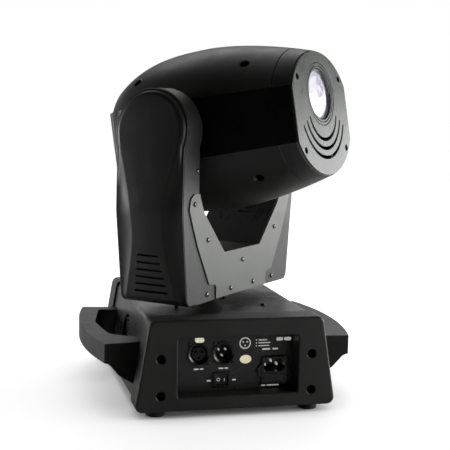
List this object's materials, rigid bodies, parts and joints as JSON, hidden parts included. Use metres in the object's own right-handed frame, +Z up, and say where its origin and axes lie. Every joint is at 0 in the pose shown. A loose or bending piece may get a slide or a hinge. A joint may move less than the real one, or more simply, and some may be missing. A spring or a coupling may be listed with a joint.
{
  "type": "moving head light",
  "caption": "Moving head spot light: a floor base with carrying handles, a panning yoke and a tilting barrel head with a front lens.",
  "frame": {"origin": "on the pan axis, in the plane of the feet's undersides", "axes": "+Z up along the pan axis, -Y out of the base's connector end, +X to the right when facing the connectors"},
  "size_m": [0.3143, 0.3025, 0.411],
  "materials": {
    "black_moulding": "fine moulded texture, satin",
    "black_sheet": "satin powder coat",
    "arm_paint": "satin paint",
    "plate_paint": "satin paint",
    "face_metal": "satin silver grey",
    "lens_glass": "polished",
    "socket_metal": "black chrome",
    "black_fitting": "semi gloss",
    "smoked_window": "gloss smoked",
    "cream_plastic": "gloss",
    "black_rubber": "matte",
    "belt_rubber": "matte",
    "zinc_screw": "zinc plated",
    "black_screw": "black oxide",
    "zinc_steel": "zinc plated",
    "black_anodised": "black anodised",
    "turned_aluminium": "machined",
    "bearing_steel": "polished",
    "motor_black": "satin",
    "circuit_board": "solder mask",
    "filter_wheel": "satin"
  },
  "bodies": {
    "base": {"base_plate": "zinc_steel", "rubber_feet": "black_rubber", "front_end_cap": "black_moulding", "rear_end_cap": "black_moulding", "base_screws": "black_screw", "top_cover_left": "black_sheet", "top_cover_right": "black_sheet", "connector_panel": "black_sheet", "dmx_out_socket": "socket_metal", "dmx_in_socket": "socket_metal", "power_inlet": "black_fitting", "switch_housing": "black_fitting", "display_window": "smoked_window", "handle_left": "black_moulding", "handle_right": "black_moulding", "base_fan_frame": "black_moulding", "power_supply": "zinc_steel", "control_board": "circuit_board", "pan_bridge": "zinc_steel", "pan_column": "black_anodised"},
    "yoke": {"yoke_base": "black_sheet", "bearings": "bearing_steel", "arm_frame_near": "arm_paint", "arm_frame_far": "arm_paint", "arm_cover_near": "black_moulding", "arm_cover_far": "black_moulding", "yoke_plate_front": "plate_paint", "yoke_plate_rear": "plate_paint", "yoke_screws": "zinc_screw", "yoke_liner": "black_sheet", "pan_motor": "motor_black", "pan_belt": "belt_rubber", "tilt_motor": "motor_black", "tilt_belt": "belt_rubber"},
    "head": {"head_top_cover": "black_moulding", "head_bottom_cover": "black_moulding", "head_side_panels": "black_moulding", "front_bezel": "black_moulding", "face_plate": "face_metal", "lens_ring": "face_metal", "front_lens": "lens_glass", "rear_cap": "black_moulding", "head_screws": "black_screw", "head_chassis": "zinc_steel", "tilt_pulley": "turned_aluminium", "led_engine": "turned_aluminium"},
    "pan_pinion": {"pan_motor_pulley": "turned_aluminium"},
    "tilt_pinion": {"tilt_motor_pulley": "turned_aluminium"},
    "focus_carriage": {"focus_carriage": "turned_aluminium"},
    "colour_wheel": {"colour_wheel": "filter_wheel"},
    "gobo_wheel": {"gobo_wheel": "filter_wheel"},
    "head_fan": {"head_fan_rotor": "black_fitting"},
    "base_fan": {"base_fan_rotor": "black_fitting"},
    "fuse_drawer": {"fuse_drawer": "black_fitting"},
    "power_rocker": {"switch_rocker": "black_fitting"},
    "dmx_latch": {"dmx_out_latch": "cream_plastic"},
    "button_back": {"menu_button_back": "black_fitting"},
    "button_down": {"menu_button_down": "black_fitting"},
    "button_up": {"menu_button_up": "black_fitting"},
    "button_enter": {"menu_button_enter": "black_fitting"}
  },
  "joints": [
    {"name": "pan", "type": "hinge", "parent": "base", "child": "yoke", "pos_m": [0, 0, 0.12], "axis": [0, 0, 1], "range_deg": [-317, 223]},
    {"name": "tilt", "type": "hinge", "parent": "yoke", "child": "head", "pos_m": [0, 0, 0.311], "axis": [0.682, 0.7314, 0], "range_deg": [-205.4, 44.6]},
    {"name": "pan_pinion_spin", "type": "hinge", "parent": "yoke", "child": "pan_pinion", "pos_m": [0.03956, 0.04242, 0.127], "axis": [0, 0, 1], "range_deg": [-892, 1268]},
    {"name": "tilt_pinion_spin", "type": "hinge", "parent": "yoke", "child": "tilt_pinion", "pos_m": [0, 0, 0.182], "axis": [0.682, 0.7314, 0], "range_deg": [-821.6, 178.4]},
    {"name": "focus_slide", "type": "slide", "parent": "head", "child": "focus_carriage", "axis": [0.7211, -0.6724, 0.1668], "range_m": [-0.022, 0.018]},
    {"name": "colour_wheel_spin", "type": "hinge", "parent": "head", "child": "colour_wheel", "pos_m": [0.01019, -0.0095, 0.29307], "axis": [0.7211, -0.6724, 0.1668], "continuous": true},
    {"name": "gobo_wheel_spin", "type": "hinge", "parent": "head", "child": "gobo_wheel", "pos_m": [0.0174, -0.01623, 0.29474], "axis": [0.7211, -0.6724, 0.1668], "continuous": true},
    {"name": "head_fan_spin", "type": "hinge", "parent": "head", "child": "head_fan", "pos_m": [-0.06249, 0.05828, 0.29452], "axis": [0.7211, -0.6724, 0.1668], "continuous": true},
    {"name": "base_fan_spin", "type": "hinge", "parent": "base", "child": "base_fan", "pos_m": [-0.0923, 0.004, 0.066], "axis": [1, 0, 0], "continuous": true},
    {"name": "fuse_drawer_slide", "type": "slide", "parent": "base", "child": "fuse_drawer", "axis": [0, -1, 0], "range_m": [0, 0.018]},
    {"name": "power_switch_tip", "type": "hinge", "parent": "base", "child": "power_rocker", "pos_m": [-0.0122, -0.119, 0.0356], "axis": [0, 0, 1], "range_deg": [0, 14]},
    {"name": "dmx_latch_press", "type": "slide", "parent": "base", "child": "dmx_latch", "axis": [0, 1, 0], "range_m": [0, 0.0015]},
    {"name": "menu_back_press", "type": "slide", "parent": "base", "child": "button_back", "axis": [0, -1, 0], "range_m": [0, 0.0015]},
    {"name": "menu_down_press", "type": "slide", "parent": "base", "child": "button_down", "axis": [0, -1, 0], "range_m": [0, 0.0015]},
    {"name": "menu_up_press", "type": "slide", "parent": "base", "child": "button_up", "axis": [0, -1, 0], "range_m": [0, 0.0015]},
    {"name": "menu_enter_press", "type": "slide", "parent": "base", "child": "button_enter", "axis": [0, -1, 0], "range_m": [0, 0.0015]}
  ],
  "couplings": [
    {"joint": "pan_pinion_spin", "follows": "pan", "ratio": -4},
    {"joint": "tilt_pinion_spin", "follows": "tilt", "ratio": 4}
  ]
}
